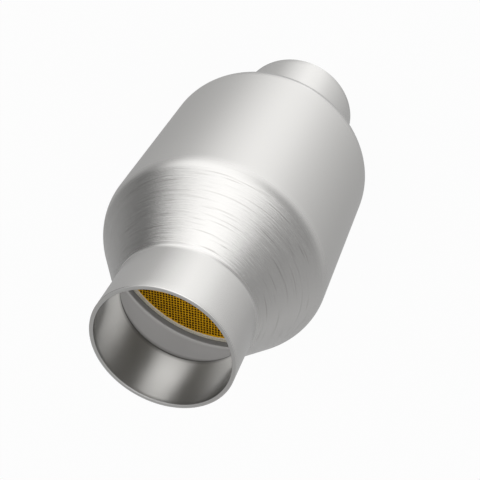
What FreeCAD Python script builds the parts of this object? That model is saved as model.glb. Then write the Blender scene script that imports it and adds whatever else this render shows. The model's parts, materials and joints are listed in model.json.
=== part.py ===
"""Round exhaust catalytic converter with spun ends, in millimetres.

One stainless tube is spun down at both ends to a cone and a neck, so the can,
its cones and its necks are a single piece. Inside it a ceramic honeycomb brick
is held by a wrapped support mat, and a rope seal closes the mat at each end.
The gas axis is Z, and the lower neck stands on Z = 0.
"""

import FreeCAD
import Part

import math
import os

import Sketcher
from FreeCAD import Placement, Rotation, Vector

# Driving dimensions, in millimetres
SIZES = [
    ("brick_diameter", 101.6, "ceramic brick across its skin"),
    ("brick_length", 88.9, "ceramic brick along the gas axis"),
    ("brick_skin", 1.0, "closed rim of the brick outside its channels"),
    ("cell_pitch", 6.0, "spacing of the square channels"),
    ("cell_wall", 1.0, "web between two channels"),
    ("brick_overhang", 1.85, "how far the brick stands past the straight wall of the can"),
    ("mat_thickness", 4.85, "support mat between brick and can, as pressed"),
    ("seam_gap", 0.8, "open line of the mat's tongue and groove joint"),
    ("tongue_width", 26.0, "tongue of the mat, along the gas axis"),
    ("tongue_reach", 14.0, "tongue of the mat, round the brick"),
    ("seal_length", 5.5, "flat flank of the rope seal, along the gas axis"),
    ("seal_crown", 1.6, "rise of the seal's nose to its ridge"),
    ("can_wall", 1.5, "sheet of the can"),
    ("neck_wall", 2.1, "wall of a neck and its cone, thickened by the spinning"),
    ("neck_bore", 64.0, "inside of a neck: a 63.5 pipe slips in"),
    ("neck_length", 29.8, "neck from its end to the cone"),
    ("cone_length", 37.2, "cone along the gas axis, corner to corner"),
    ("shoulder_radius", 16.5, "outer bend from cone to can"),
    ("throat_radius", 5.0, "outer bend from neck to cone"),
    ("rim_lead", 0.5, "lead-in at the inner edge of a neck's end"),
]

EDGE_MATCH = 0.01
FULL_TURN = 360
HALF_TURN = 180

doc = FreeCAD.newDocument("converter")
sheet = doc.addObject("Spreadsheet::Sheet", "sizes")
for row, (alias, value, note) in enumerate(SIZES, start=1):
    sheet.set(f"A{row}", str(value))
    sheet.setAlias(f"A{row}", alias)
    sheet.set(f"B{row}", note)
doc.recompute()

# Radii that follow from the sheet, as expressions that the document keeps
BRICK_R = "(sizes.brick_diameter / 2)"
CAN_BORE_R = f"({BRICK_R} + sizes.mat_thickness)"
CAN_R = f"({CAN_BORE_R} + sizes.can_wall)"
BORE_R = "(sizes.neck_bore / 2)"
NECK_R = f"({BORE_R} + sizes.neck_wall)"

# The cone: its rise from neck to can, its length along the slant, and the tangent
# of half its angle, which gives how far a bend of some radius reaches along it
CONE_RISE = f"({CAN_R} - {NECK_R})"
CONE_SLANT = f"sqrt({CONE_RISE}^2 + sizes.cone_length^2)"
HALF_BEND = f"tan(atan({CONE_RISE} / sizes.cone_length) / 2)"
SHOULDER_RUN = f"(sizes.shoulder_radius * {HALF_BEND})"

# Heights of the lower half, up to the straight wall, and of the whole can
STRAIGHT = "(sizes.brick_length - 2 * sizes.brick_overhang)"
Z_THROAT = "sizes.neck_length"
Z_SHOULDER = f"({Z_THROAT} + sizes.cone_length)"
Z_STRAIGHT = f"({Z_SHOULDER} + {SHOULDER_RUN})"
Z_STRAIGHT_TOP = f"({Z_STRAIGHT} + {STRAIGHT})"
Z_TOP = f"({Z_STRAIGHT_TOP} + {Z_STRAIGHT})"

# How far the inner corners lie above the outer ones, so that each wall keeps its thickness
INNER_THROAT_SHIFT = f"sizes.neck_wall * {HALF_BEND}"
INNER_SHOULDER_SHIFT = (
    f"(sizes.neck_wall * {CONE_SLANT} - sizes.can_wall * sizes.cone_length) / {CONE_RISE}"
)


def evaluate(expression):
    """The present value of an expression over the sheet, as a plain number."""
    value = sheet.evalExpression(expression)
    return float(getattr(value, "Value", value))


def full_height(half):
    """The corners of the lower half, given from the bottom up, and their mirror images above."""
    return half + [(across, f"{Z_TOP} - ({up})") for across, up in reversed(half)]


def new_body(label, lift="0", turn=None):
    """A body that stands at the height given by an expression, turned over if asked."""
    body = doc.addObject("PartDesign::Body", label)
    body.Label = label
    body.Placement = Placement(Vector(0, 0, 0), turn or Rotation())
    body.setExpression("Placement.Base.z", lift)
    return body


def new_sketch(body, name, role):
    """An empty sketch on one of the body's own origin planes."""
    sketch = body.newObject("Sketcher::SketchObject", name)
    plane = next(f for f in body.Origin.OriginFeatures if f.Role == role)
    sketch.AttachmentSupport = (plane, [""])
    sketch.MapMode = "FlatFace"
    return sketch


def place_start(sketch, edge, across, up):
    """Ties the start of an edge to its place; each coordinate is an expression, or 0 on an axis."""
    for kind, expression, axis in (("DistanceX", across, -2), ("DistanceY", up, -1)):
        if expression == "0":
            sketch.addConstraint(Sketcher.Constraint("PointOnObject", edge, 1, axis))
            continue
        value = evaluate(expression)
        index = sketch.addConstraint(Sketcher.Constraint(kind, -1, 1, edge, 1, value))
        sketch.setExpression(f"Constraints[{index}]", expression)


def shoulder_arc(start, end):
    """The arc from one end of a shoulder up to the other, which bulges away from the axis."""
    radius = evaluate("sizes.shoulder_radius")
    chord = end - start
    rise = radius - math.sqrt(radius**2 - (chord.Length / 2) ** 2)
    outward = Vector(chord.y, -chord.x, 0).normalize()
    return Part.Arc(start, (start + end) / 2 + outward * rise, end)


def draw_outline(sketch, corners, shoulders=()):
    """A closed outline through corners, each a pair of expressions.

    The runs are straight lines, and arcs where their number is among the shoulders.
    """
    points = [Vector(evaluate(across), evaluate(up), 0) for across, up in corners]
    followers = points[1:] + points[:1]
    edges = []
    for number, (start, end) in enumerate(zip(points, followers)):
        shape = shoulder_arc(start, end) if number in shoulders else Part.LineSegment(start, end)
        edges.append(sketch.addGeometry(shape))
    for edge, follower in zip(edges, edges[1:] + edges[:1]):
        sketch.addConstraint(Sketcher.Constraint("Coincident", edge, 2, follower, 1))
    for edge, (across, up) in zip(edges, corners):
        place_start(sketch, edge, across, up)
    for number in shoulders:
        radius = evaluate("sizes.shoulder_radius")
        index = sketch.addConstraint(Sketcher.Constraint("Radius", edges[number], radius))
        sketch.setExpression(f"Constraints[{index}]", "sizes.shoulder_radius")


def revolve(body, name, sketch):
    """A full turn of the sketch about the gas axis."""
    turn = body.newObject("PartDesign::Revolution", name)
    turn.Profile = sketch
    turn.ReferenceAxis = (sketch, ["V_Axis"])
    turn.Angle = FULL_TURN
    doc.recompute()
    return turn


def bevel_rings(body, name, base, rings, run):
    """Bevels the circular edges that have these radii and heights, given as expressions."""
    wanted = [(evaluate(across), evaluate(up)) for across, up in rings]
    names = []
    for index, edge in enumerate(base.Shape.Edges, start=1):
        if not isinstance(edge.Curve, Part.Circle):
            continue
        here = (edge.Curve.Radius, edge.Curve.Center.z)
        if any(math.dist(here, ring) < EDGE_MATCH for ring in wanted):
            names.append(f"Edge{index}")
    if len(names) != len(rings):
        raise ValueError(f"{name}: {len(names)} edges found for {len(rings)} rings")
    bevel = body.newObject("PartDesign::Chamfer", name)
    bevel.Base = (base, names)
    bevel.setExpression("Size", run)
    doc.recompute()
    return bevel


def make_shell():
    """The can: one spun tube whose sheet thickens into the cones and necks.

    Its shoulders are arcs. The tight bends at the throats, which a narrow roller
    forms, are flats as long as the bend, inside and outside.
    """
    body = new_body("shell")
    profile = new_sketch(body, "shell_profile", "XZ_Plane")
    rim = (NECK_R, "0")
    throat = (NECK_R, Z_THROAT)
    shoulder_start = (
        f"{CAN_R} - {SHOULDER_RUN} * {CONE_RISE} / {CONE_SLANT}",
        f"{Z_SHOULDER} - {SHOULDER_RUN} * sizes.cone_length / {CONE_SLANT}",
    )
    shoulder_end = (CAN_R, Z_STRAIGHT)
    inner_rim = (BORE_R, "0")
    inner_throat = (BORE_R, f"{Z_THROAT} + {INNER_THROAT_SHIFT}")
    inner_shoulder = (CAN_BORE_R, f"{Z_SHOULDER} + {INNER_SHOULDER_SHIFT}")
    outside = full_height([rim, throat, shoulder_start, shoulder_end])
    inside = full_height([inner_rim, inner_throat, inner_shoulder])
    lower_shoulder = outside.index(shoulder_start)
    upper_shoulder = lower_shoulder + 2
    draw_outline(profile, outside + inside[::-1], shoulders=(lower_shoulder, upper_shoulder))
    wall = revolve(body, "spun_wall", profile)
    wall = bevel_rings(
        body, "throats", wall, full_height([throat]), f"sizes.throat_radius * {HALF_BEND}"
    )
    wall = bevel_rings(
        body,
        "inner_throats",
        wall,
        full_height([inner_throat]),
        f"(sizes.throat_radius + sizes.neck_wall) * {HALF_BEND}",
    )
    bevel_rings(body, "lead_ins", wall, full_height([inner_rim]), "sizes.rim_lead")
    return body


def channel_wires():
    """Square channel outlines on a grid, one for each cell that clears the brick's skin."""
    pitch = evaluate("sizes.cell_pitch")
    half = (pitch - evaluate("sizes.cell_wall")) / 2
    reach = evaluate(f"{BRICK_R} - sizes.brick_skin")
    count = int(reach // pitch) + 1
    square = [Vector(x, y, 0) for x, y in ((-half, -half), (half, -half), (half, half), (-half, half))]
    wires = []
    for column in range(-count, count + 1):
        for line in range(-count, count + 1):
            middle = Vector(column * pitch, line * pitch, 0)
            corners = [middle + corner for corner in square]
            if max(corner.Length for corner in corners) < reach:
                wires.append(Part.makePolygon(corners + corners[:1]))
    return wires


def make_substrate():
    """The honeycomb brick: its end face, with every channel open, drawn out to its length."""
    rim = Part.Wire(Part.makeCircle(evaluate(BRICK_R)))
    section = doc.addObject("Part::Feature", "brick_section")
    section.Shape = Part.Face([rim] + channel_wires(), "Part::FaceMakerBullseye")
    brick = doc.addObject("Part::Extrusion", "substrate")
    brick.Label = "substrate"
    brick.Base = section
    brick.DirMode = "Custom"
    brick.Dir = Vector(0, 0, 1)
    brick.Solid = True
    brick.setExpression("LengthFwd", "sizes.brick_length")
    brick.setExpression("Placement.Base.z", f"{Z_STRAIGHT} - sizes.brick_overhang")
    doc.recompute()
    return brick


def make_mat():
    """The support mat: a wrapped sheet whose ends meet in a tongue and a groove."""
    body = new_body("support_mat", f"{Z_STRAIGHT} + sizes.seal_length")
    length = f"({STRAIGHT} - 2 * sizes.seal_length)"
    ring = new_sketch(body, "mat_ring", "XY_Plane")
    for name, radius in (("inner", BRICK_R), ("outer", CAN_BORE_R)):
        circle = ring.addGeometry(Part.Circle(Vector(0, 0, 0), Vector(0, 0, 1), evaluate(radius)))
        ring.addConstraint(Sketcher.Constraint("Coincident", circle, 3, -1, 1))
        index = ring.addConstraint(Sketcher.Constraint("Radius", circle, evaluate(radius)))
        ring.renameConstraint(index, name)
        ring.setExpression(f"Constraints.{name}", radius)
    wrap = body.newObject("PartDesign::Pad", "mat_wrap")
    wrap.Profile = ring
    wrap.setExpression("Length", length)
    doc.recompute()
    cut_seam(body, length)
    return body


def cut_seam(body, length):
    """The open line where the sheet's two ends meet: up, round the tongue and up again."""
    seam = new_sketch(body, "mat_seam", "XZ_Plane")
    gap = "sizes.seam_gap"
    reach = "sizes.tongue_reach"
    below = f"-{gap}"
    above = f"{length} + {gap}"
    low = f"({length} - sizes.tongue_width) / 2"
    high = f"({length} + sizes.tongue_width) / 2"
    left = [
        ("0", below),
        ("0", f"{low} + {gap}"),
        (reach, f"{low} + {gap}"),
        (reach, f"{high} - {gap}"),
        ("0", f"{high} - {gap}"),
        ("0", above),
    ]
    right = [
        (gap, above),
        (gap, high),
        (f"{reach} + {gap}", high),
        (f"{reach} + {gap}", low),
        (gap, low),
        (gap, below),
    ]
    draw_outline(seam, left + right)
    slot = body.newObject("PartDesign::Pocket", "seam_slot")
    slot.Profile = seam
    slot.Type = "Length"
    slot.setExpression("Length", CAN_R)
    before = body.Shape.Volume
    doc.recompute()
    if slot.Shape.Volume >= before:
        raise ValueError("the seam slot cut nothing")


def make_seal(label, lift, turn=None):
    """A knitted wire rope pressed between brick and can, flat on the mat, its nose a low ridge."""
    body = new_body(label, lift, turn)
    section = new_sketch(body, f"{label}_section", "XZ_Plane")
    ridge = (f"({BRICK_R} + {CAN_BORE_R}) / 2", "sizes.seal_length + sizes.seal_crown")
    corners = [
        (BRICK_R, "0"),
        (CAN_BORE_R, "0"),
        (CAN_BORE_R, "sizes.seal_length"),
        ridge,
        (BRICK_R, "sizes.seal_length"),
    ]
    draw_outline(section, corners)
    revolve(body, f"{label}_ring", section)
    return body


turned_over = Rotation(Vector(1, 0, 0), HALF_TURN)
parts = [
    make_shell(),
    make_substrate(),
    make_mat(),
    make_seal("upper_seal", f"{Z_STRAIGHT_TOP} - sizes.seal_length"),
    make_seal("lower_seal", f"{Z_STRAIGHT} + sizes.seal_length", turned_over),
]
doc.recompute()

for item in doc.Objects:
    faults = [state for state in item.State if state in ("Invalid", "Error")]
    if faults:
        raise RuntimeError(f"{item.Label} is {faults}")
for part in parts:
    if part.Shape.isNull() or not part.Shape.isValid() or part.Shape.Volume <= 0:
        raise RuntimeError(f"{part.Label} has no valid solid")

os.makedirs("parts", exist_ok=True)
for part in parts:
    part.Shape.exportStep(f"parts/{part.Label}.step")
    box = part.Shape.optimalBoundingBox()
    volume = part.Shape.Volume / 1000
    print(f"{part.Label}: {volume:.1f} cm3, Z {box.ZMin:.2f} to {box.ZMax:.2f}, X {box.XLength:.2f}")
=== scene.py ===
import json
import math

import bpy
import numpy as np
from mathutils import Matrix
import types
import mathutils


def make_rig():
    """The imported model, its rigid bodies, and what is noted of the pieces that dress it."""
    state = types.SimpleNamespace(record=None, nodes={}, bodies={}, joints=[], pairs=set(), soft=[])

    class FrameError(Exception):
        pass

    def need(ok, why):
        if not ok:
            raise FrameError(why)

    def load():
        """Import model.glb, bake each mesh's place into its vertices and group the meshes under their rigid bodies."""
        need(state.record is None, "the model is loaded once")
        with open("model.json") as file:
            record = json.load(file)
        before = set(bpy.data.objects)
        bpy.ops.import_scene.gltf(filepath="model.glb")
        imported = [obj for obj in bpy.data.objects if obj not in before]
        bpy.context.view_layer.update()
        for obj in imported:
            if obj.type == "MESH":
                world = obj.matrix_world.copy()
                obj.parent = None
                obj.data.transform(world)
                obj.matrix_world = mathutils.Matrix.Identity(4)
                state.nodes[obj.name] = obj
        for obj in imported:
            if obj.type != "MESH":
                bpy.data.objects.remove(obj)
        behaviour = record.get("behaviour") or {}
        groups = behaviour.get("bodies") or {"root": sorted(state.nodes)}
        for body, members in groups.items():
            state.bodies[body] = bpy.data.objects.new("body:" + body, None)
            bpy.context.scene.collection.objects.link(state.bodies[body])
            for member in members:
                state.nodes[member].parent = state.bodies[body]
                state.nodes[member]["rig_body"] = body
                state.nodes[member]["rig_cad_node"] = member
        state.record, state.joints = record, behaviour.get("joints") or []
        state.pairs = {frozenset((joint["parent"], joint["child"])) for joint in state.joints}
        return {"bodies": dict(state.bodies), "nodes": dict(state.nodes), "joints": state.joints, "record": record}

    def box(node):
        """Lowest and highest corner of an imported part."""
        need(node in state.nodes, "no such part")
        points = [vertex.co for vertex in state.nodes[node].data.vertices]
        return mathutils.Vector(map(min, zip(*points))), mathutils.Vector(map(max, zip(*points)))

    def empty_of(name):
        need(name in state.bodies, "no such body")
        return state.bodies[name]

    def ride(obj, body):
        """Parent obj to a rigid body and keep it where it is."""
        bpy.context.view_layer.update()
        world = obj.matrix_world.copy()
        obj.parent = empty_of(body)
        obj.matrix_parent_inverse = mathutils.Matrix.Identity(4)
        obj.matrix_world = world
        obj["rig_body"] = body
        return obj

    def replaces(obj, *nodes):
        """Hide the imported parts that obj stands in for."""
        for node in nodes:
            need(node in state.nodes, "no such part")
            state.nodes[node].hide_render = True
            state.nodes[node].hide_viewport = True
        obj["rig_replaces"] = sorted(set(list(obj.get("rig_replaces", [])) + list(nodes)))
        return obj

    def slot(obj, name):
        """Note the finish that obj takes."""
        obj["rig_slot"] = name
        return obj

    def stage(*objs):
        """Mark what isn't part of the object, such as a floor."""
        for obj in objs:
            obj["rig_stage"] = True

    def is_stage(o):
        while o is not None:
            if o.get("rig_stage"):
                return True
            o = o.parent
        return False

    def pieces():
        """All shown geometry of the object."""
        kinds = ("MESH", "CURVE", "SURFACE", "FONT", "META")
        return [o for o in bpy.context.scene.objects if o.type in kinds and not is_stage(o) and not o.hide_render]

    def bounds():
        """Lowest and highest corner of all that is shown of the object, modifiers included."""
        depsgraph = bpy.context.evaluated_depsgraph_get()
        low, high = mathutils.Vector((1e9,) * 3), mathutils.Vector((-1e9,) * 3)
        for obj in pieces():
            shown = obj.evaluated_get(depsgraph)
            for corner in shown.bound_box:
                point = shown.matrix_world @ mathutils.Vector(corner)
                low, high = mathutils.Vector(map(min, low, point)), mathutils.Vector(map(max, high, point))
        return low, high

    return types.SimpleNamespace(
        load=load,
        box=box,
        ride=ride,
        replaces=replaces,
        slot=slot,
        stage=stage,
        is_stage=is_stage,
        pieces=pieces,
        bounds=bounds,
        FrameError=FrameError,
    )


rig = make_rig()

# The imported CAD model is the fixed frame. It comes first, so that the settings can take defaults from it
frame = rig.load()

bl_info = {
    "name": "Spun exhaust converter",
    "version": (1, 0, 0),
    "blender": (4, 5, 0),
    "location": "3D Viewport > Sidebar > Converter",
    "description": "Dresses the spun steel can, the honeycomb brick, its mat and its wire seals",
    "category": "Add Mesh",
}

MM = 0.001
FULL_TURN = 2.0 * math.pi

SHELL_LOW, SHELL_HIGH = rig.box("shell")
BRICK_LOW, BRICK_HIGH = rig.box("substrate")


# Sizes and colours that a user would change

class CanSettings(bpy.types.PropertyGroup):
    """Sizes and finish of the spun steel can"""

    length: bpy.props.FloatProperty(
        name="Length", description="From one neck end to the other",
        default=SHELL_HIGH.z - SHELL_LOW.z, min=0.01, unit="LENGTH")
    body_radius: bpy.props.FloatProperty(
        name="Body radius", description="Outside radius of the straight body",
        default=57.15 * MM, min=0.01, unit="LENGTH")
    body_bore: bpy.props.FloatProperty(
        name="Body bore", description="Inside radius of the straight body",
        default=55.65 * MM, min=0.01, unit="LENGTH")
    neck_radius: bpy.props.FloatProperty(
        name="Neck radius", description="Outside radius of each pipe neck",
        default=34.1 * MM, min=0.005, unit="LENGTH")
    neck_bore: bpy.props.FloatProperty(
        name="Neck bore", description="Inside radius of each pipe neck",
        default=32.0 * MM, min=0.005, unit="LENGTH")
    neck_length: bpy.props.FloatProperty(
        name="Neck length", description="From the neck's end to the corner where the cone starts, outside",
        default=29.8 * MM, min=0.001, unit="LENGTH")
    cone_length: bpy.props.FloatProperty(
        name="Cone length", description="Height of each cone, corner to corner outside",
        default=37.2 * MM, min=0.001, unit="LENGTH")
    shoulder_radius: bpy.props.FloatProperty(
        name="Shoulder radius", description="Outside bend radius between cone and body",
        default=16.5 * MM, min=0.001, unit="LENGTH")
    throat_radius: bpy.props.FloatProperty(
        name="Throat radius", description="Outside bend radius between neck and cone",
        default=5.0 * MM, min=0.0005, unit="LENGTH")
    rim_radius: bpy.props.FloatProperty(
        name="Rim radius", description="Rounding left by deburring the neck ends",
        default=0.35 * MM, min=0.0, unit="LENGTH")
    mark_depth: bpy.props.FloatProperty(
        name="Roller mark depth", description="Depth of the deepest roller marks on the cones",
        default=0.003 * MM, min=0.0, unit="LENGTH")
    steel: bpy.props.FloatVectorProperty(
        name="Steel", description="Reflected colour of the steel, in sRGB",
        default=(0.78, 0.775, 0.77), min=0.0, max=1.0, size=3, subtype="COLOR_GAMMA")


class BrickSettings(bpy.types.PropertyGroup):
    """Sizes and colours of the ceramic honeycomb"""

    radius: bpy.props.FloatProperty(
        name="Radius", description="Outside radius of the brick",
        default=50.8 * MM, min=0.005, unit="LENGTH")
    channel_pitch: bpy.props.FloatProperty(
        name="Channel pitch", description="From one channel's centre to the next",
        default=1.552 * MM, min=0.0005, unit="LENGTH")
    web: bpy.props.FloatProperty(
        name="Web", description="Thickness of the wall between two channels, with its coat",
        default=0.38 * MM, min=0.00005, unit="LENGTH")
    coat_fillet: bpy.props.FloatProperty(
        name="Coat fillet", description="How far the coat fills each channel corner",
        default=0.16 * MM, min=0.00001, unit="LENGTH")


class SealSettings(bpy.types.PropertyGroup):
    """Sizes of the knitted wire seals"""

    stitches: bpy.props.IntProperty(
        name="Stitches", description="Stitches of the knit round each seal",
        default=300, min=12)
    wire_relief: bpy.props.FloatProperty(
        name="Wire relief", description="How far the wire stands out of the rope",
        default=0.12 * MM, min=0.0, unit="LENGTH")


class StageSettings(bpy.types.PropertyGroup):
    """Floor, light and camera"""

    light: bpy.props.FloatProperty(
        name="Light", description="Strength of the studio light", default=1.0, min=0.0)
    lens: bpy.props.FloatProperty(
        name="Lens", description="Focal length on a 36 mm wide sensor", default=74.707, min=1.0)


# Mesh making

def new_piece(name, points, faces, smooth):
    """A mesh object at the origin, from an array of points and a list of faces. Each face is a row of point
    numbers."""
    mesh = bpy.data.meshes.new(name)
    mesh.from_pydata(points.tolist(), [], faces)
    mesh.polygons.foreach_set("use_smooth", np.full(len(mesh.polygons), smooth))
    mesh.update()
    piece = bpy.data.objects.new(name, mesh)
    bpy.context.scene.collection.objects.link(piece)
    return piece


def arc_points(corner, before, after, radius, rows):
    """Points of the arc that rounds one corner of an outline.

    The arc touches both sides at radius * tan(turn / 2) from the corner, and its points are the first
    touching point turned about the arc's centre by equal shares of the turn.
    """
    towards = (corner - before) / np.linalg.norm(corner - before)
    away = (after - corner) / np.linalg.norm(after - corner)
    turn = math.atan2(towards[0] * away[1] - towards[1] * away[0], towards @ away)
    start = corner - towards * radius * math.tan(abs(turn) / 2)
    side = np.array([-towards[1], towards[0]]) * math.copysign(1.0, turn)
    centre = start + side * radius
    share = np.linspace(0.0, turn, rows + 1)[:, None]
    arm = start - centre
    across = np.array([-arm[1], arm[0]])
    return centre + arm * np.cos(share) + across * np.sin(share)


def closed_outline(corners, radii, arc_rows, run_rows):
    """Closed outline of radius and height pairs: a rounded arc at each corner, then equal steps along the
    straight run to the next arc. arc_rows and run_rows say how many steps each has."""
    corners = np.asarray(corners, float)
    arcs = [
        arc_points(corners[i], corners[i - 1], corners[(i + 1) % len(corners)], radii[i], arc_rows[i])
        for i in range(len(corners))
    ]
    parts = []
    for i, arc in enumerate(arcs):
        share = np.linspace(0.0, 1.0, run_rows[i] + 1)[1:-1, None]
        run = arc[-1] * (1 - share) + arcs[(i + 1) % len(arcs)][0] * share
        parts += [arc, run]
    return np.concatenate(parts)


def outline_normals(outline):
    """Unit normals of a closed outline in the plane of radius and height: the chord between a point's two
    neighbours, turned by a right angle to point away from the material."""
    chord = np.roll(outline, -1, 0) - np.roll(outline, 1, 0)
    normal = np.stack([chord[:, 1], -chord[:, 0]], 1)
    return normal / np.linalg.norm(normal, axis=1)[:, None]


def turned_grid(outline, turns, relief=0.0):
    """Surface of revolution of a closed outline about Z. The point for row i and turn step j is the
    outline's point i, moved out along its normal by relief[i, j], then turned by the angle 2 pi j / turns."""
    angle = np.arange(turns) * FULL_TURN / turns
    normal = outline_normals(outline)
    height = np.zeros((len(outline), turns)) + relief
    radius = outline[:, :1] + normal[:, :1] * height
    level = outline[:, 1:] + normal[:, 1:] * height
    return np.stack([radius * np.cos(angle), radius * np.sin(angle), level], -1)


def ring_faces(rows, turns):
    """Quads of a grid that closes both ways, with the sides facing out of a turned outline."""
    i, j = np.meshgrid(np.arange(rows), np.arange(turns), indexing="ij")
    up, on = (i + 1) % rows, (j + 1) % turns
    corners = np.stack([i * turns + j, i * turns + on, up * turns + on, up * turns + j], -1)
    return corners.reshape(-1, 4)


def turned_map(piece, outline, turns):
    """A UV map with U along the outline and V round the turn, each from 0 to 1 once. Its seam isn't
    stretched, because the last face ends at 1 and not at 0."""
    rows = len(outline)
    step = np.linalg.norm(np.roll(outline, -1, 0) - outline, axis=1)
    along = np.concatenate([[0.0], np.cumsum(step)]) / step.sum()
    i, j = np.meshgrid(np.arange(rows), np.arange(turns), indexing="ij")
    u = np.stack([along[i], along[i], along[i + 1], along[i + 1]], -1)
    v = np.stack([j, j + 1, j + 1, j], -1) / turns
    layer = piece.data.uv_layers.new(name="turned")
    layer.uv.foreach_set("vector", np.stack([u, v], -1).astype(np.float32).ravel())


# Materials

def linear(hex_colour):
    """An sRGB colour written as six hex digits, as the linear colour that the shaders take."""
    part = np.array([int(hex_colour[k:k + 2], 16) for k in (0, 2, 4)]) / 255
    curve = np.where(part <= 0.04045, part / 12.92, ((part + 0.055) / 1.055) ** 2.4)
    return (*curve.tolist(), 1.0)


def linear_of(colour):
    """A colour picked in the panel, in sRGB, as the linear colour that the shaders take."""
    return linear("".join(f"{round(part * 255):02x}" for part in colour))


def add_node(tree, kind, inputs=(), **settings):
    """Adds a node of this kind with its settings. inputs maps an input's name or place to a value, or to the
    output socket that is linked to it."""
    node = tree.nodes.new(kind)
    for name, value in settings.items():
        setattr(node, name, value)
    for name, value in dict(inputs).items():
        if isinstance(value, bpy.types.NodeSocket):
            tree.links.new(value, node.inputs[name])
        else:
            node.inputs[name].default_value = value
    return node


def new_material(name):
    """An empty material. Returns the material and its node tree."""
    material = bpy.data.materials.new(name)
    material.use_nodes = True
    material.node_tree.nodes.clear()
    return material, material.node_tree


def ring_coordinates(tree, round_scale, along_scale):
    """Object coordinates pulled out along the turning direction: the direction from the axis times
    round_scale, plus the height times along_scale. A noise read with them is made of long arcs round Z and
    has no seam."""
    place = add_node(tree, "ShaderNodeTexCoord").outputs["Object"]
    flat = add_node(
        tree, "ShaderNodeVectorMath", {0: place, 1: (1, 1, 0)}, operation="MULTIPLY").outputs[0]
    direction = add_node(tree, "ShaderNodeVectorMath", {0: flat}, operation="NORMALIZE").outputs[0]
    round_part = add_node(
        tree, "ShaderNodeVectorMath",
        {0: direction, 1: (round_scale, round_scale, 0)}, operation="MULTIPLY").outputs[0]
    along_part = add_node(
        tree, "ShaderNodeVectorMath",
        {0: place, 1: (0, 0, along_scale)}, operation="MULTIPLY").outputs[0]
    return add_node(
        tree, "ShaderNodeVectorMath", {0: round_part, 1: along_part}, operation="ADD").outputs[0]


# Height of the roller's streaks on the cones, as a multiple of that of the belt's scratches
STREAK_HEIGHT = 12.0


def satin_spun_stainless(steel):
    """Ferritic stainless tube, spun to shape and finished with a fine belt while it turned. The scratches run
    round the axis, so highlights stretch along it. The cones keep the roller's marks and are burnished by
    it, and the necks a little less."""
    material, tree = new_material("satin_spun_stainless")
    marked = add_node(tree, "ShaderNodeAttribute", attribute_name="marked").outputs["Fac"]
    burnish = add_node(tree, "ShaderNodeAttribute", attribute_name="burnish").outputs["Fac"]
    groove = add_node(tree, "ShaderNodeAttribute", attribute_name="groove").outputs["Fac"]
    # Belt scratches are 0.02 mm wide and are drawn 0.3 mm wide, the finest that shows
    belt = add_node(
        tree, "ShaderNodeTexNoise",
        {"Vector": ring_coordinates(tree, 4.0, 1 / (0.3 * MM)), "Scale": 1.0, "Detail": 2.0,
         "Roughness": 0.6},
    ).outputs["Fac"]
    # Roller streaks on the cones lie about 0.4 mm apart and run round 0.4 of a radian
    streak = add_node(
        tree, "ShaderNodeTexNoise",
        {"Vector": ring_coordinates(tree, 2.4, 1 / (0.38 * MM)), "Scale": 1.0, "Detail": 3.0,
         "Roughness": 0.75},
    ).outputs["Fac"]
    on_cone = add_node(tree, "ShaderNodeMath", {0: streak, 1: marked}, operation="MULTIPLY").outputs[0]
    height = add_node(
        tree, "ShaderNodeMath", {0: on_cone, 1: STREAK_HEIGHT, 2: belt}, operation="MULTIPLY_ADD").outputs[0]
    bump = add_node(
        tree, "ShaderNodeBump", {"Height": height, "Strength": 1.0, "Distance": 0.008 * MM}).outputs[0]
    rough = add_node(
        tree, "ShaderNodeMapRange",
        {"Value": burnish, "From Min": 0.0, "From Max": 1.0, "To Min": 0.38, "To Max": 0.24}).outputs[0]
    # Painted shade: the steel's colour is darker in the deeper roller grooves
    tint = add_node(
        tree, "ShaderNodeMix",
        {"Factor": groove, "A": linear_of(steel), "B": linear("AAA8A5")}, data_type="RGBA").outputs["Result"]
    along = add_node(tree, "ShaderNodeTangent", direction_type="UV_MAP", uv_map="turned").outputs[0]
    shader = add_node(
        tree, "ShaderNodeBsdfPrincipled",
        {"Base Color": tint, "Metallic": 1.0, "Roughness": rough, "Anisotropic": 0.4,
         "Tangent": along, "Normal": bump})
    add_node(tree, "ShaderNodeOutputMaterial", {"Surface": shader.outputs["BSDF"]})
    return material


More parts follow.
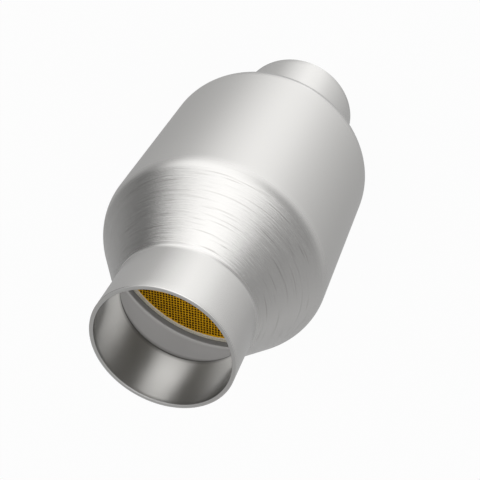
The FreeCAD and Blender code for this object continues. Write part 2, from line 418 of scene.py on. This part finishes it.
def mill_finish_inside():
    """The tube's inside. The necks' bores are sized on a mandrel, which burnishes them. The cones and the body keep
    the dull grey oxide of the rolling mill, which shines little. A dark line along the inner throat's bend is painted
    shade, and a paler band round the inner shoulder's corner is painted light."""
    material, tree = new_material("mill_finish_stainless")
    sized = add_node(tree, "ShaderNodeAttribute", attribute_name="sized").outputs["Fac"]
    painted_throat_shade = add_node(tree, "ShaderNodeAttribute", attribute_name="painted_throat_shade").outputs["Fac"]
    painted_fill_light = add_node(tree, "ShaderNodeAttribute", attribute_name="painted_fill_light").outputs["Fac"]
    # Rings are drawn 0.7 mm apart, about as they are
    ring = add_node(
        tree, "ShaderNodeTexNoise",
        {"Vector": ring_coordinates(tree, 2.0, 1 / (0.7 * MM)), "Scale": 1.0, "Detail": 3.0,
         "Roughness": 0.6},
    ).outputs["Fac"]
    bump = add_node(
        tree, "ShaderNodeBump", {"Height": ring, "Strength": 1.0, "Distance": 0.02 * MM}).outputs[0]
    along = add_node(tree, "ShaderNodeTangent", direction_type="UV_MAP", uv_map="turned").outputs[0]
    rough = add_node(tree, "ShaderNodeMapRange", {"Value": sized, "To Min": 0.80, "To Max": 0.35}).outputs[0]
    metal = add_node(tree, "ShaderNodeMapRange", {"Value": sized, "To Min": 0.0, "To Max": 1.0}).outputs[0]
    # Painted light: the dull grey turns paler round the inner shoulder's corner
    dull = add_node(
        tree, "ShaderNodeMix",
        {"Factor": painted_fill_light, "A": linear("6C6B6A"), "B": linear("868584")}, data_type="RGBA").outputs["Result"]
    grey = add_node(
        tree, "ShaderNodeMix",
        {"Factor": sized, "A": dull, "B": linear("959492")}, data_type="RGBA").outputs["Result"]
    # Painted shade: a dark line along the inner throat's bend
    colour = add_node(
        tree, "ShaderNodeMix",
        {"Factor": painted_throat_shade, "A": grey, "B": linear("2E2C2A")}, data_type="RGBA").outputs["Result"]
    shader = add_node(
        tree, "ShaderNodeBsdfPrincipled",
        {"Base Color": colour, "Metallic": metal, "Roughness": rough, "Specular IOR Level": 0.1,
         "Anisotropic": 0.6, "Tangent": along, "Normal": bump})
    add_node(tree, "ShaderNodeOutputMaterial", {"Surface": shader.outputs["BSDF"]})
    return material


def coated_cordierite(name, thin, thick):
    """Extruded cordierite with a fired washcoat, matt and chalky like unglazed tile. The colour goes from that of a
    thin coat to that of a thick one. When both colours given are dark brown, as for the channel walls, the material is
    painted shade."""
    material, tree = new_material(name)
    place = add_node(tree, "ShaderNodeTexCoord").outputs["Object"]
    # The coat's thickness changes over about 6 mm. Its grain is 0.02 mm wide and is drawn 0.3 mm wide
    patch = add_node(
        tree, "ShaderNodeTexNoise", {"Vector": place, "Scale": 1 / (6 * MM), "Detail": 2.0}).outputs["Fac"]
    grain = add_node(
        tree, "ShaderNodeTexNoise", {"Vector": place, "Scale": 1 / (0.3 * MM), "Detail": 2.0}).outputs["Fac"]
    mixed = add_node(
        tree, "ShaderNodeMath", {0: patch, 1: 0.3, 2: grain}, operation="MULTIPLY_ADD").outputs[0]
    amount = add_node(
        tree, "ShaderNodeMapRange", {"Value": mixed, "From Min": 0.35, "From Max": 0.95}).outputs[0]
    colour = add_node(
        tree, "ShaderNodeMix",
        {"Factor": amount, "A": linear(thin), "B": linear(thick)}, data_type="RGBA").outputs["Result"]
    bump = add_node(
        tree, "ShaderNodeBump", {"Height": grain, "Strength": 0.3, "Distance": 0.05 * MM}).outputs[0]
    shader = add_node(
        tree, "ShaderNodeBsdfPrincipled",
        {"Base Color": colour, "Roughness": 0.75, "Normal": bump, "IOR": 1.5, "Specular IOR Level": 0.1})
    add_node(tree, "ShaderNodeOutputMaterial", {"Surface": shader.outputs["BSDF"]})
    return material


def knitted_wire():
    """Stainless wire, knitted and pressed into a rope. It looks like dull beige-grey wool with bright
    specks."""
    material, tree = new_material("knitted_stainless_wire")
    place = add_node(tree, "ShaderNodeTexCoord").outputs["Object"]
    # Wire is 0.15 mm thick, and its specks are drawn 0.5 mm wide
    speck = add_node(
        tree, "ShaderNodeTexNoise", {"Vector": place, "Scale": 1 / (0.5 * MM), "Detail": 1.0}).outputs["Fac"]
    ramp = add_node(tree, "ShaderNodeValToRGB", {"Fac": speck})
    ramp.color_ramp.elements[0].position = 0.35
    ramp.color_ramp.elements[0].color = linear("A8A395")
    ramp.color_ramp.elements[1].position = 0.65
    ramp.color_ramp.elements[1].color = linear("D6D0C0")
    bump = add_node(
        tree, "ShaderNodeBump", {"Height": speck, "Strength": 0.5, "Distance": 0.1 * MM}).outputs[0]
    shader = add_node(
        tree, "ShaderNodeBsdfPrincipled",
        {"Base Color": ramp.outputs["Color"], "Metallic": 0.15, "Roughness": 0.55, "Normal": bump})
    add_node(tree, "ShaderNodeOutputMaterial", {"Surface": shader.outputs["BSDF"]})
    return material


def alumina_fibre_mat():
    """Needled alumina fibre, pressed flat. It is soft, chalk white and matted, with fibres across each
    other."""
    material, tree = new_material("alumina_fibre_mat")
    place = add_node(tree, "ShaderNodeTexCoord").outputs["Object"]
    # Fibres are 0.005 mm thick, and tufts of them 0.8 mm wide are drawn instead
    tuft = add_node(
        tree, "ShaderNodeTexNoise", {"Vector": place, "Scale": 1 / (0.8 * MM), "Detail": 4.0}).outputs["Fac"]
    ramp = add_node(tree, "ShaderNodeValToRGB", {"Fac": tuft})
    ramp.color_ramp.elements[0].position = 0.3
    ramp.color_ramp.elements[0].color = linear("C9C3B4")
    ramp.color_ramp.elements[1].position = 0.7
    ramp.color_ramp.elements[1].color = linear("EFEBE0")
    bump = add_node(
        tree, "ShaderNodeBump", {"Height": tuft, "Strength": 0.6, "Distance": 0.2 * MM}).outputs[0]
    shader = add_node(
        tree, "ShaderNodeBsdfPrincipled",
        {"Base Color": ramp.outputs["Color"], "Roughness": 0.95, "Sheen Weight": 0.3, "Normal": bump})
    add_node(tree, "ShaderNodeOutputMaterial", {"Surface": shader.outputs["BSDF"]})
    return material


def matt_paper_floor():
    """White seamless paper, matt and evenly lit, so that it stays nearly white under the part."""
    material, tree = new_material("matt_white_paper")
    place = add_node(tree, "ShaderNodeTexCoord").outputs["Object"]
    # The paper's tooth is 0.1 mm wide and is drawn 2 mm wide
    tooth = add_node(
        tree, "ShaderNodeTexNoise", {"Vector": place, "Scale": 1 / (2 * MM), "Detail": 2.0}).outputs["Fac"]
    bump = add_node(
        tree, "ShaderNodeBump", {"Height": tooth, "Strength": 0.02, "Distance": 0.05 * MM}).outputs[0]
    shader = add_node(
        tree, "ShaderNodeBsdfPrincipled",
        {"Base Color": linear("303030"), "Roughness": 1.0, "Specular IOR Level": 0.0, "Normal": bump,
         "Emission Color": linear("FFFFFF"), "Emission Strength": 0.95})
    add_node(tree, "ShaderNodeOutputMaterial", {"Surface": shader.outputs["BSDF"]})
    return material


# Pieces

# Rows of the can's mesh along a cone and round a shoulder, and steps round its axis
CONE_ROWS = 112
SHOULDER_ROWS = 26
CAN_TURNS = 240
# Roller marks on each cone, and one seed for each cone's marks
MARKS_PER_CONE = 500
MARK_SEEDS = (5, 11)
# Inside bend radius at both ends of each cone
INNER_BEND = 3.0 * MM
# How burnished the necks are, where the cones are 1
NECK_BURNISH = 0.8
# A row is on the outside or inside where its normal points away from or to the axis by more than this share
SIDEWAYS = 0.3


def can_outline(can):
    """Outline of the can's wall: up the outside from the lower neck end, over the rim and down the inside."""
    wall = can.neck_radius - can.neck_bore
    slope = math.atan2(can.body_radius - can.neck_radius, can.cone_length)
    # The inner throat corner lies where the cone's inner face, one wall in, meets the bore
    inner_throat = can.neck_length + wall * math.tan(slope / 2)
    inner_shoulder = inner_throat + (can.body_bore - can.neck_bore) / math.tan(slope)
    throat, shoulder = can.neck_length, can.neck_length + can.cone_length
    outside = [(can.neck_radius, 0.0), (can.neck_radius, throat), (can.body_radius, shoulder)]
    inside = [(can.neck_bore, 0.0), (can.neck_bore, inner_throat), (can.body_bore, inner_shoulder)]
    top = can.length
    corners = (
        outside
        + [(r, top - z) for r, z in outside[::-1]]
        + [(r, top - z) for r, z in inside]
        + inside[::-1]
    )
    out_radii = [can.rim_radius, can.throat_radius, can.shoulder_radius]
    in_radii = [can.rim_radius, INNER_BEND, INNER_BEND]
    radii = out_radii + out_radii[::-1] + in_radii + in_radii[::-1]
    out_arcs = [3, 8, SHOULDER_ROWS]
    in_arcs = [3, 6, 6]
    arc_rows = out_arcs + out_arcs[::-1] + in_arcs + in_arcs[::-1]
    # A run's rows belong to the corner that it starts from
    run_rows = [6, CONE_ROWS, 14, CONE_ROWS, 6, 3, 16, 8, 6, 8, 16, 3]
    return closed_outline(corners, radii, arc_rows, run_rows)


def roller_marks(along, angle, seed, depth, count, span):
    """Height of the marks that the spinning roller leaves on a cone, over rows along it and steps round it.

    Each mark is a groove with a bell-shaped section across the rows, and it runs round a sector whose ends
    fade by a raised cosine. Its height is minus the sum over the marks of depth times section times sector.
    """
    draw = np.random.default_rng(seed)
    centre = draw.uniform(span[0], span[1], count)
    width = draw.uniform(0.16, 0.24, count) * MM
    strength = depth * draw.uniform(0.3, 1.0, count) ** 4
    middle = draw.uniform(0.0, FULL_TURN, count)
    reach = draw.uniform(0.06, 0.32, count)
    section = np.exp(-(((along[None] - centre[:, None]) / width[:, None]) ** 2))
    apart = np.arccos(np.cos(angle[None] - middle[:, None]))
    sector = 0.5 + 0.5 * np.cos(np.pi * np.clip(apart / reach[:, None], 0.0, 1.0))
    return -np.einsum("k,ki,kj->ij", strength, section, sector)


def build_can(can):
    """The can: its wall's outline turned about Z, with the roller's marks pressed into both cones."""
    outline = can_outline(can)
    angle = np.arange(CAN_TURNS) * FULL_TURN / CAN_TURNS
    normal = outline_normals(outline)
    step = np.linalg.norm(np.roll(outline, -1, 0) - outline, axis=1)
    along = np.concatenate([[0.0], np.cumsum(step)[:-1]])
    height = outline[:, 1]
    # Each row's distance from the nearer neck end, and how strongly it is marked: not at all on neck and
    # body. The marks fade in over 1.2 mm, from 0.4 mm past the throat's corner, and out over 6 mm, up to
    # 1 mm past the shoulder's corner
    outer = normal[:, 0] > SIDEWAYS
    level = np.minimum(height, can.length - height)
    throat, shoulder = can.neck_length, can.neck_length + can.cone_length
    fade_in = np.clip((level - throat - 0.4 * MM) / (1.2 * MM), 0.0, 1.0)
    fade_out = np.clip((shoulder + 1.0 * MM - level) / (6.0 * MM), 0.0, 1.0)
    marked = np.where(outer, fade_in * fade_out, 0.0)
    # The roller burnishes the cone, fading out over 4.5 mm up to 5.2 mm past the shoulder's corner, and the
    # neck up to where the marks start
    burnish_end = np.clip((shoulder + 5.2 * MM - level) / (4.5 * MM), 0.0, 1.0)
    on_neck = np.clip((throat + 1.6 * MM - level) / (1.2 * MM), 0.0, 1.0)
    burnished = np.where(outer, np.maximum(fade_in * burnish_end, NECK_BURNISH * on_neck), 0.0)
    relief = np.zeros((len(outline), CAN_TURNS))
    for seed, side in zip(MARK_SEEDS, (height < can.length / 2, height >= can.length / 2)):
        rows = np.nonzero(side & (marked > 0))[0]
        span = (along[rows].min(), along[rows].max())
        relief[rows] += roller_marks(along[rows], angle, seed, can.mark_depth, MARKS_PER_CONE, span)
    relief *= marked[:, None]
    points = turned_grid(outline, CAN_TURNS, relief)
    faces = ring_faces(len(outline), CAN_TURNS)
    piece = new_piece("spun_can", points.reshape(-1, 3), faces.tolist(), True)
    turned_map(piece, outline, CAN_TURNS)
    # The mandrel that sizes the bore stops at the inner throat's corner. A line of painted shade lies along the bend
    # there, 0.7 mm wide and fading out over 0.9 mm on both sides
    inner_bend = throat + 0.6 * MM
    sized = np.clip((inner_bend - level) / (0.6 * MM), 0.0, 1.0)
    painted_throat_shade = np.clip(1.4 - np.abs(level - inner_bend) / (0.9 * MM), 0.0, 1.0)
    # Painted light: the bore is coloured paler where it lies in shade beside the seal. It shows up to 2.4 mm on both
    # sides of the inner shoulder's corner
    painted_fill_light = np.clip(1.0 - np.abs(level - shoulder - 1.6 * MM) / (2.4 * MM), 0.0, 1.0)
    for name, values in (("marked", marked), ("burnish", burnished), ("sized", sized), ("painted_throat_shade", painted_throat_shade),
                         ("painted_fill_light", painted_fill_light)):
        attribute = piece.data.attributes.new(name, "FLOAT", "POINT")
        attribute.data.foreach_set("value", np.repeat(values, CAN_TURNS).astype(np.float32))
    # Painted shade: how deep each point lies in a roller groove, from 0 to 1, darkens the steel's colour there
    groove = piece.data.attributes.new("groove", "FLOAT", "POINT")
    groove.data.foreach_set("value", np.clip(-relief / can.mark_depth, 0, 1).astype(np.float32).ravel())
    piece.data.materials.append(satin_spun_stainless(can.steel))
    piece.data.materials.append(mill_finish_inside())
    # The rows that face the axis, with the inner half of each rim, take the inside finish
    inside = np.repeat((normal[:, 0] < -SIDEWAYS).astype(np.int32), CAN_TURNS)
    piece.data.polygons.foreach_set("material_index", inside)
    return piece


def pulled_in(points, reach):
    """Points pulled straight towards the axis, down to at most this radius."""
    radius = np.hypot(points[..., 0], points[..., 1])
    return points * np.minimum(1.0, reach / np.maximum(radius, 1e-9))[..., None]


def build_brick(brick, low, high):
    """The honeycomb brick.

    A square grid of web crossings is laid over the round face, and each square whose centre lies well inside
    becomes a channel: an octagon, which is the square less half a web on each side and with the coat's fillet
    cutting its corners. What lies outside the round face is pulled in to it along the radius. Ends and walls
    are the strips between crossings and octagons, and between the octagons of both ends.
    """
    pitch, half_web = brick.channel_pitch, brick.web / 2
    # How far mouths, webs and the end's chamfer stay inside the round face
    mouth_margin, web_margin, chamfer = 0.7 * MM, 0.4 * MM, 0.3 * MM
    # A crossing near the axis, which sets where the channels lie
    start = np.array([-0.19, -0.125]) * MM
    most = math.ceil(brick.radius / pitch) + 1
    steps = np.arange(-most, most + 1)
    i, j = np.meshgrid(steps, steps, indexing="ij")
    crossing = start + np.stack([i, j], -1) * pitch
    centre = crossing[:-1, :-1] + pitch / 2
    chosen = np.hypot(centre[..., 0], centre[..., 1]) < brick.radius - mouth_margin
    row, column = np.nonzero(chosen)
    size = len(steps)
    # Numbers of the four crossings round each channel, in turning order
    ring = np.stack([row * size + column, (row + 1) * size + column,
                     (row + 1) * size + column + 1, row * size + column + 1], -1)
    used, ring = np.unique(ring, return_inverse=True)
    ring = ring.reshape(-1, 4)
    nodes = pulled_in(crossing.reshape(-1, 2)[used], brick.radius - web_margin)
    # Octagon corners of each channel, two beside each crossing
    far = pitch / 2 - half_web
    near = far - brick.coat_fillet
    corner = np.array([[-far, -near], [-near, -far], [near, -far], [far, -near],
                       [far, near], [near, far], [-near, far], [-far, near]])
    mouth = pulled_in(centre[row, column][:, None] + corner, brick.radius - mouth_margin)
    # Edge of the chosen squares, as crossings in turning order, and its points on the round side
    count = np.bincount(ring.ravel(), minlength=len(nodes))
    rim = np.nonzero(count < 4)[0]
    rim = rim[np.argsort(np.arctan2(nodes[rim, 1], nodes[rim, 0]))]
    direction = nodes[rim] / np.linalg.norm(nodes[rim], axis=1)[:, None]
    side = direction * brick.radius
    flat = np.concatenate([nodes, mouth.reshape(-1, 2), direction * (brick.radius - chamfer)])
    per_end = len(flat)
    upper = np.column_stack([flat, np.full(per_end, high)])
    lower = np.column_stack([flat, np.full(per_end, low)])
    upper_side = np.column_stack([side, np.full(len(rim), high - chamfer)])
    lower_side = np.column_stack([side, np.full(len(rim), low + chamfer)])
    points = np.concatenate([upper, lower, upper_side, lower_side])
    # Faces of the upper end, turning left as seen from above
    octagon = len(nodes) + np.arange(len(row))[:, None] * 8 + np.arange(8)
    quads, triangles = [], []
    for k in range(4):
        after = (k + 1) % 4
        # Corner k of the square has octagon corners 2k and 2k + 1 beside it
        quads.append(np.stack([ring[:, k], ring[:, after], octagon[:, 2 * after], octagon[:, 2 * k + 1]], -1))
        triangles.append(np.stack([ring[:, k], octagon[:, 2 * k + 1], octagon[:, 2 * k]], -1))
    outer = len(nodes) + len(row) * 8 + np.arange(len(rim))
    rim_on, outer_on = np.roll(rim, -1), np.roll(outer, -1)
    quads.append(np.stack([rim, outer, outer_on, rim_on], -1))
    end_quads, end_triangles = np.concatenate(quads), np.concatenate(triangles)
    lower_quads = end_quads[:, ::-1] + per_end
    lower_triangles = end_triangles[:, ::-1] + per_end
    next_corner = np.roll(octagon, -1, 1)
    walls = np.stack([octagon, next_corner, next_corner + per_end, octagon + per_end], -1).reshape(-1, 4)
    top_side = 2 * per_end + np.arange(len(rim))
    low_side = top_side + len(rim)
    top_on, low_on = np.roll(top_side, -1), np.roll(low_side, -1)
    skin = np.concatenate([
        np.stack([outer, top_side, top_on, outer_on], -1),
        np.stack([top_side, low_side, low_on, top_on], -1),
        np.stack([low_side, outer + per_end, outer_on + per_end, low_on], -1),
    ])
    faces = np.concatenate([end_quads, lower_quads, walls, skin]).tolist()
    faces += np.concatenate([end_triangles, lower_triangles]).tolist()
    piece = new_piece("honeycomb_brick", points, faces, False)
    piece.data.materials.append(coated_cordierite("coated_cordierite_face", "A07206", "C49410"))
    # Painted shade: the channel walls take a dark brown that stands in for the shade deep inside the channels
    piece.data.materials.append(coated_cordierite("coated_cordierite_channel_painted_shade", "241600", "3E2804"))
    in_channel = np.zeros(len(faces), np.int32)
    in_channel[2 * len(end_quads):2 * len(end_quads) + len(walls)] = 1
    piece.data.polygons.foreach_set("material_index", in_channel)
    return piece


def build_seal(name, seal, outline, material):
    """A wire seal: its section turned about Z, with the knit standing out of it.

    The knit is rows of stitches, 1.1 mm high. Each stitch is a pair of legs that lean together, drawn as the
    crests of a cosine without its sign, whose phase runs round the ring and is bent to and fro along the
    section.
    """
    # Four steps round the ring draw a stitch
    turns = seal.stitches * 4
    angle = np.arange(turns) * FULL_TURN / turns
    step = np.linalg.norm(np.roll(outline, -1, 0) - outline, axis=1)
    along = np.concatenate([[0.0], np.cumsum(step)[:-1]])
    course = 1.1 * MM
    lean = np.abs((along / course) % 1.0 - 0.5) * 2.0
    phase = angle[None] * seal.stitches + lean[:, None] * np.pi
    relief = seal.wire_relief * (np.abs(np.cos(phase)) - 1.0)
    points = turned_grid(outline, turns, relief)
    piece = new_piece(name, points.reshape(-1, 3), ring_faces(len(outline), turns).tolist(), True)
    piece.data.materials.append(material)
    return piece


def seal_outline(ridge, brick_radius, bore):
    """Closed section of a seal: a narrow rope beside the brick, up to z = ridge, then a slope down to a flat
    that fills the rest of the gap to the can's bore."""
    clearance = 0.05 * MM
    inner, outer = brick_radius + clearance, bore - clearance
    width = outer - inner
    foot, flat = ridge - 7.1 * MM, ridge - 2.4 * MM
    corners = [(outer, foot), (outer, flat), (inner + 0.29 * width, flat),
               (inner + 0.16 * width, ridge), (inner, ridge), (inner, foot)]
    radii = np.array([0.4, 0.3, 0.3, 0.3, 0.3, 0.4]) * MM
    arc_rows = [2, 3, 4, 6, 6, 2]
    run_rows = [4, 3, 3, 2, 6, 3]
    return closed_outline(corners, radii, arc_rows, run_rows)


# Operators

class CONVERTER_OT_spun_can(bpy.types.Operator):
    """Build the spun steel can"""

    bl_idname = "converter.spun_can"
    bl_label = "Spun can"

    def execute(self, context):
        can = build_can(context.scene.converter_can)
        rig.replaces(can, "shell")
        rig.slot(can, "stainless_steel")
        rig.ride(can, "root")
        return {"FINISHED"}


class CONVERTER_OT_honeycomb_brick(bpy.types.Operator):
    """Build the coated honeycomb brick"""

    bl_idname = "converter.honeycomb_brick"
    bl_label = "Honeycomb brick"

    def execute(self, context):
        brick = build_brick(context.scene.converter_brick, BRICK_LOW.z, BRICK_HIGH.z)
        # Unseen by reflections and bounced light, so that it casts no amber on the steel
        brick.visible_glossy = False
        brick.visible_diffuse = False
        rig.replaces(brick, "substrate")
        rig.slot(brick, "coated_ceramic")
        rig.ride(brick, "root")
        return {"FINISHED"}


class CONVERTER_OT_wire_seals(bpy.types.Operator):
    """Build the knitted wire seals at both ends of the mat"""

    bl_idname = "converter.wire_seals"
    bl_label = "Wire seals"

    def execute(self, context):
        seal = context.scene.converter_seal
        brick, can = context.scene.converter_brick, context.scene.converter_can
        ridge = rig.box("upper_seal")[1].z
        outline = seal_outline(ridge, brick.radius, can.body_bore)
        wire = knitted_wire()
        upper = build_seal("wire_seal_upper", seal, outline, wire)
        # The lower seal is the upper one mirrored in the can's middle plane, with its order turned round
        mirrored = outline[::-1] * (1, -1) + (0, can.length)
        lower = build_seal("wire_seal_lower", seal, mirrored, wire)
        for piece, node in ((upper, "upper_seal"), (lower, "lower_seal")):
            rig.replaces(piece, node)
            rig.slot(piece, "knitted_wire")
            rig.ride(piece, "root")
        return {"FINISHED"}


class CONVERTER_OT_fibre_mat(bpy.types.Operator):
    """Give the support mat its fibre finish"""

    bl_idname = "converter.fibre_mat"
    bl_label = "Fibre mat"

    def execute(self, context):
        mat = frame["nodes"]["support_mat"]
        mat.data.materials.clear()
        mat.data.materials.append(alumina_fibre_mat())
        return {"FINISHED"}


class CONVERTER_OT_stage(bpy.types.Operator):
    """Set up the floor, the studio light and the camera"""

    bl_idname = "converter.stage"
    bl_label = "Stage"

    def execute(self, context):
        stage = context.scene.converter_stage
        floor = build_sweep()
        floor.data.materials.append(matt_paper_floor())
        # The paper doesn't show in the steel, and neither lights nor shades the part
        floor.visible_glossy = False
        floor.visible_diffuse = False
        floor.visible_shadow = False
        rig.stage(floor)
        studio_light(context.scene, stage.light)
        inside_lamps(context.scene)
        context.scene.camera = photo_camera(stage.lens)
        context.scene.view_settings.view_transform = "Standard"
        return {"FINISHED"}


def build_sweep():
    """The floor: seamless paper that lies flat round the part and curves up all round into a wall. Its
    section runs out 3 m, up a quarter circle of 1 m radius and 3 m higher, turned about Z. The middle is one
    round face."""
    turns, bend = 96, 24
    angle = np.arange(turns) * FULL_TURN / turns
    climb = np.linspace(0.0, math.pi / 2, bend + 1)
    section = np.concatenate([np.stack([3.0 + np.sin(climb), 1.0 - np.cos(climb)], 1), [[4.0, 4.0]]])
    points = np.stack([section[:, :1] * np.cos(angle), section[:, :1] * np.sin(angle),
                       np.repeat(section[:, 1:], turns, 1)], -1).reshape(-1, 3)
    walls = ring_faces(len(section), turns)[:-turns]
    return new_piece("floor", points, [list(range(turns))] + walls[:, ::-1].tolist(), True)


# How far the tent's panels lean, as a share of a full turn for each unit of a ray's height
LEAN = 0.16


def studio_light(scene, strength):
    """Soft light all round, in a tent. A broad bright panel stands on the camera's side from floor to
    ceiling, a dark flag beside it, and grey cloth elsewhere. The panel's edges lean, so that their azimuth
    shifts with the height of a ray. Below the horizon they are softer and the cloth is lighter, as on a pale
    floor. Each ramp gives the grey by azimuth, from -180 to 180 degrees, and the ray's height blends the
    three."""
    world = bpy.data.worlds.new("soft_studio")
    world.use_nodes = True
    tree = world.node_tree
    tree.nodes.clear()
    ray = add_node(tree, "ShaderNodeTexCoord").outputs["Generated"]
    part = add_node(tree, "ShaderNodeSeparateXYZ", {0: ray})
    height = part.outputs["Z"]
    azimuth = add_node(
        tree, "ShaderNodeMath", {0: part.outputs["Y"], 1: part.outputs["X"]}, operation="ARCTAN2").outputs[0]
    share = add_node(
        tree, "ShaderNodeMapRange", {"Value": azimuth, "From Min": -math.pi, "From Max": math.pi}).outputs[0]
    lean = add_node(
        tree, "ShaderNodeMapRange",
        {"Value": height, "From Min": -0.1, "From Max": 0.5,
         "To Min": -0.3 * LEAN, "To Max": 0.3 * LEAN}).outputs[0]
    leaning = add_node(tree, "ShaderNodeMath", {0: share, 1: lean}, operation="ADD").outputs[0]
    tent = ((-180, 0.42), (-162, 0.42), (-144, 0.64), (-128, 1.39), (-112, 1.74), (-82, 1.80), (-69, 1.55),
            (-57, 0.98), (-45, 0.28), (-34, 0.18), (-16, 0.24), (0, 0.30), (40, 0.43), (70, 0.57),
            (110, 0.63), (150, 0.48), (180, 0.42))
    floor = ((-180, 0.80), (-150, 1.08), (-125, 1.44), (-97, 1.56), (-70, 1.21), (-40, 0.68), (0, 0.58),
             (40, 0.48), (90, 0.52), (140, 0.56), (180, 0.80))
    ceiling = ((-180, 1.0), (-140, 1.6), (-115, 2.3), (-80, 2.2), (-50, 1.3), (-10, 0.75), (66, 0.42),
               (140, 0.65), (180, 1.0))
    greys = []
    for stops, place in ((tent, leaning), (floor, share), (ceiling, share)):
        ramp = add_node(tree, "ShaderNodeValToRGB", {"Fac": place})
        bands = ramp.color_ramp
        while len(bands.elements) < len(stops):
            bands.elements.new(0.5)
        for element, (degrees, grey) in zip(bands.elements, stops):
            element.position = degrees / 360 + 0.5
            element.color = (grey, grey, grey, 1.0)
        greys.append(ramp.outputs["Color"])
    below = add_node(
        tree, "ShaderNodeMapRange", {"Value": height, "From Min": -0.1, "From Max": -0.65},
        interpolation_type="SMOOTHSTEP").outputs[0]
    above = add_node(
        tree, "ShaderNodeMapRange", {"Value": height, "From Min": 0.3, "From Max": 0.7},
        interpolation_type="SMOOTHSTEP").outputs[0]
    lower = add_node(
        tree, "ShaderNodeMix",
        {"Factor": below, "A": greys[0], "B": greys[1]}, data_type="RGBA").outputs["Result"]
    grey = add_node(
        tree, "ShaderNodeMix",
        {"Factor": above, "A": lower, "B": greys[2]}, data_type="RGBA").outputs["Result"]
    background = add_node(tree, "ShaderNodeBackground", {"Color": grey, "Strength": strength})
    add_node(tree, "ShaderNodeOutputWorld", {"Surface": background.outputs["Background"]})
    scene.world = world


# Each lamp inside the can: its name, its place across the can, its distance from the can's middle and its
# size, all in millimetres, its watts, and whether it shows in reflections. One that doesn't lights what is
# matt. Those that show stay inside the cone's wall, which is 51.8 mm from the axis at their distance
INSIDE_LAMPS = (
    ("bore", (8, -20), 52, (38, 28), 0.0128, True),
    ("left", (-12, 33), 52, (42, 30), 0.0046, True),
    ("far_left", (-2, 44), 52, (26, 12), 0.0014, True),
    ("right", (24, 29), 52, (32, 22), 0.0020, True),
    ("far_right", (23, 40), 52, (16, 8), 0.0005, True),
    ("cone", (0, 0), 44.65, (110, 110), 0.051, False),
    ("brick", (-12, 6), 105, (30, 30), 0.036, False),
)


def inside_lamps(scene):
    """Small flat lamps within the can, which light it as deep as the brick. In each end five of them shine
    out at the neck's bore and show in it as bands, one lights the cone's inside and one, in the neck's mouth,
    faces the brick. The camera sees none of them."""
    middle = (SHELL_LOW.z + SHELL_HIGH.z) / 2
    for end, side in ((1, "upper"), (-1, "lower")):
        for name, place, distance, size, watts, mirrored in INSIDE_LAMPS:
            lamp = bpy.data.lights.new(f"{name}_lamp_{side}", "AREA")
            lamp.shape = "ELLIPSE"
            lamp.size, lamp.size_y = size[0] * MM, size[1] * MM
            lamp.energy = watts
            holder = bpy.data.objects.new(lamp.name, lamp)
            holder.location = (place[0] * MM, place[1] * MM, middle + end * distance * MM)
            # A lamp shines down unless it is turned over. All shine out of their end but the brick's
            shines_up = (end > 0) != (name == "brick")
            holder.rotation_euler = (math.pi if shines_up else 0.0, 0.0, 0.0)
            holder.visible_camera = False
            holder.visible_glossy = mirrored
            holder.visible_diffuse = not mirrored
            scene.collection.objects.link(holder)


def photo_camera(lens):
    """The camera, looking down into the upper neck from the place and with the roll of the photograph."""
    camera = bpy.data.objects.new("camera", bpy.data.cameras.new("camera"))
    camera.data.lens = lens
    camera.data.sensor_width = 36.0
    camera.data.clip_start = 0.01
    camera.data.clip_end = 20.0
    # The camera's axes and its place, from a fit to the part's outline in the photograph
    right = (-0.954601, -0.002248, -0.297879)
    up = (0.174276, -0.815197, -0.552342)
    back = (-0.241588, -0.579179, 0.778580)
    place = (-0.128434, -0.288466, 0.527988)
    camera.matrix_world = Matrix([*zip(right, up, back, place), (0, 0, 0, 1)])
    bpy.context.scene.collection.objects.link(camera)
    return camera


class VIEW3D_PT_converter(bpy.types.Panel):
    """Lists the converter's pieces and their settings"""

    bl_label = "Converter"
    bl_space_type = "VIEW_3D"
    bl_region_type = "UI"
    bl_category = "Converter"

    def draw(self, context):
        scene = context.scene
        for operator, settings in (
            ("converter.spun_can", scene.converter_can),
            ("converter.honeycomb_brick", scene.converter_brick),
            ("converter.wire_seals", scene.converter_seal),
            ("converter.fibre_mat", None),
            ("converter.stage", scene.converter_stage),
        ):
            box = self.layout.box()
            box.operator(operator)
            for name in settings.bl_rna.properties.keys() if settings else ():
                if name not in ("rna_type", "name"):
                    box.prop(settings, name)


CLASSES = (
    CanSettings, BrickSettings, SealSettings, StageSettings,
    CONVERTER_OT_spun_can, CONVERTER_OT_honeycomb_brick, CONVERTER_OT_wire_seals,
    CONVERTER_OT_fibre_mat, CONVERTER_OT_stage, VIEW3D_PT_converter,
)


def register():
    for cls in CLASSES:
        bpy.utils.register_class(cls)
    bpy.types.Scene.converter_can = bpy.props.PointerProperty(type=CanSettings)
    bpy.types.Scene.converter_brick = bpy.props.PointerProperty(type=BrickSettings)
    bpy.types.Scene.converter_seal = bpy.props.PointerProperty(type=SealSettings)
    bpy.types.Scene.converter_stage = bpy.props.PointerProperty(type=StageSettings)


def unregister():
    for name in ("converter_can", "converter_brick", "converter_seal", "converter_stage"):
        delattr(bpy.types.Scene, name)
    for cls in reversed(CLASSES):
        bpy.utils.unregister_class(cls)


def main():
    cad_low, cad_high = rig.bounds()
    register()
    bpy.ops.converter.stage()
    bpy.ops.converter.spun_can()
    bpy.ops.converter.honeycomb_brick()
    bpy.ops.converter.wire_seals()
    bpy.ops.converter.fibre_mat()
    low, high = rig.bounds()
    with open("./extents.json", "w") as file:
        json.dump({"cad": [list(cad_low), list(cad_high)], "visual": [list(low), list(high)]}, file)


if __name__ == "__main__":
    main()
